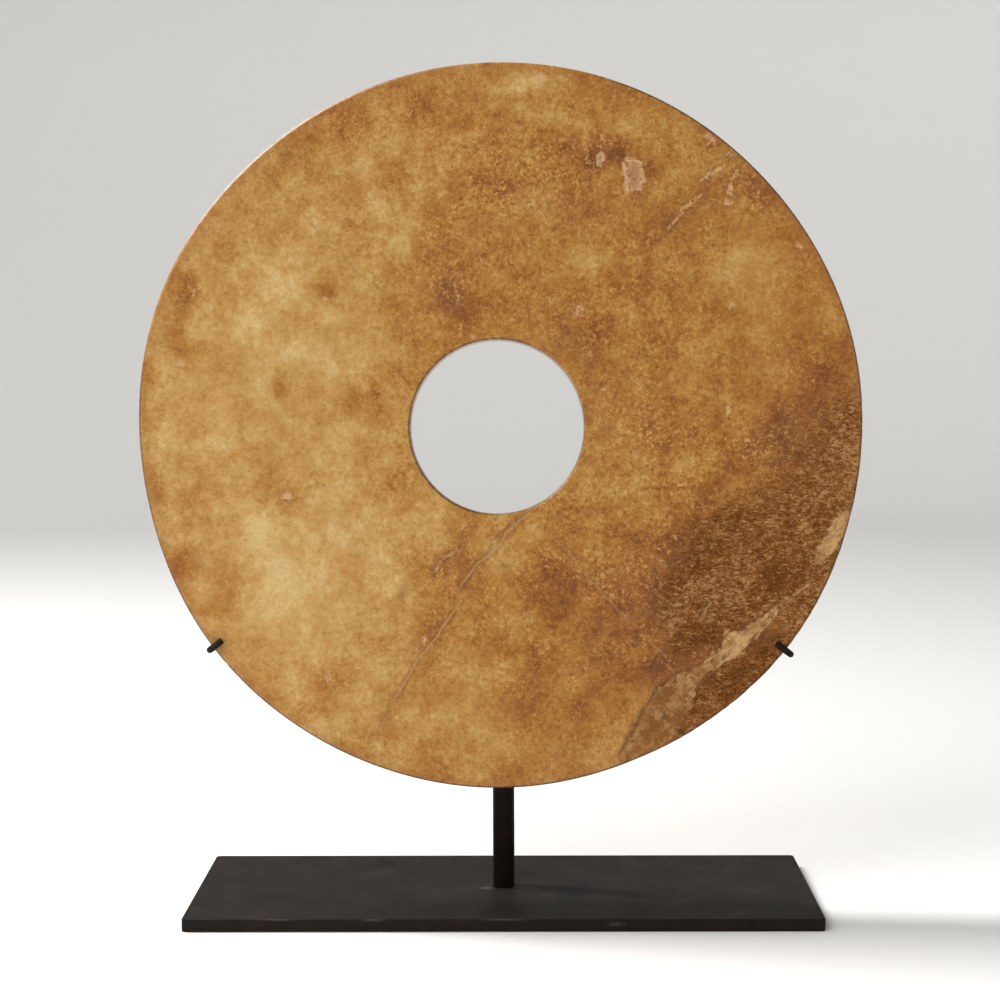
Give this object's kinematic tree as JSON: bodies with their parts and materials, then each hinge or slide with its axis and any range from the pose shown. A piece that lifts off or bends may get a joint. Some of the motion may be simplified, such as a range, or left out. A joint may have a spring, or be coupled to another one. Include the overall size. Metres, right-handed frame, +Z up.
{
  "type": "jade bi disc",
  "caption": "Large flat stone disc with a round centre hole, leaning slightly back in the hooks of a black steel stand with a post and a rectangular foot plate.",
  "frame": {"origin": "on the ground, under the middle of the base plate", "axes": "+Z up, the disc's show side faces -Y, +X to the right as seen from the front"},
  "size_m": [0.3395, 0.1156, 0.401],
  "materials": {
    "jade": "satin",
    "black_steel": "matte"
  },
  "bodies": {
    "root": {"disc": "jade", "base_plate": "black_steel", "post": "black_steel", "cross_bar": "black_steel", "left_hook": "black_steel", "right_hook": "black_steel"}
  },
  "joints": []
}
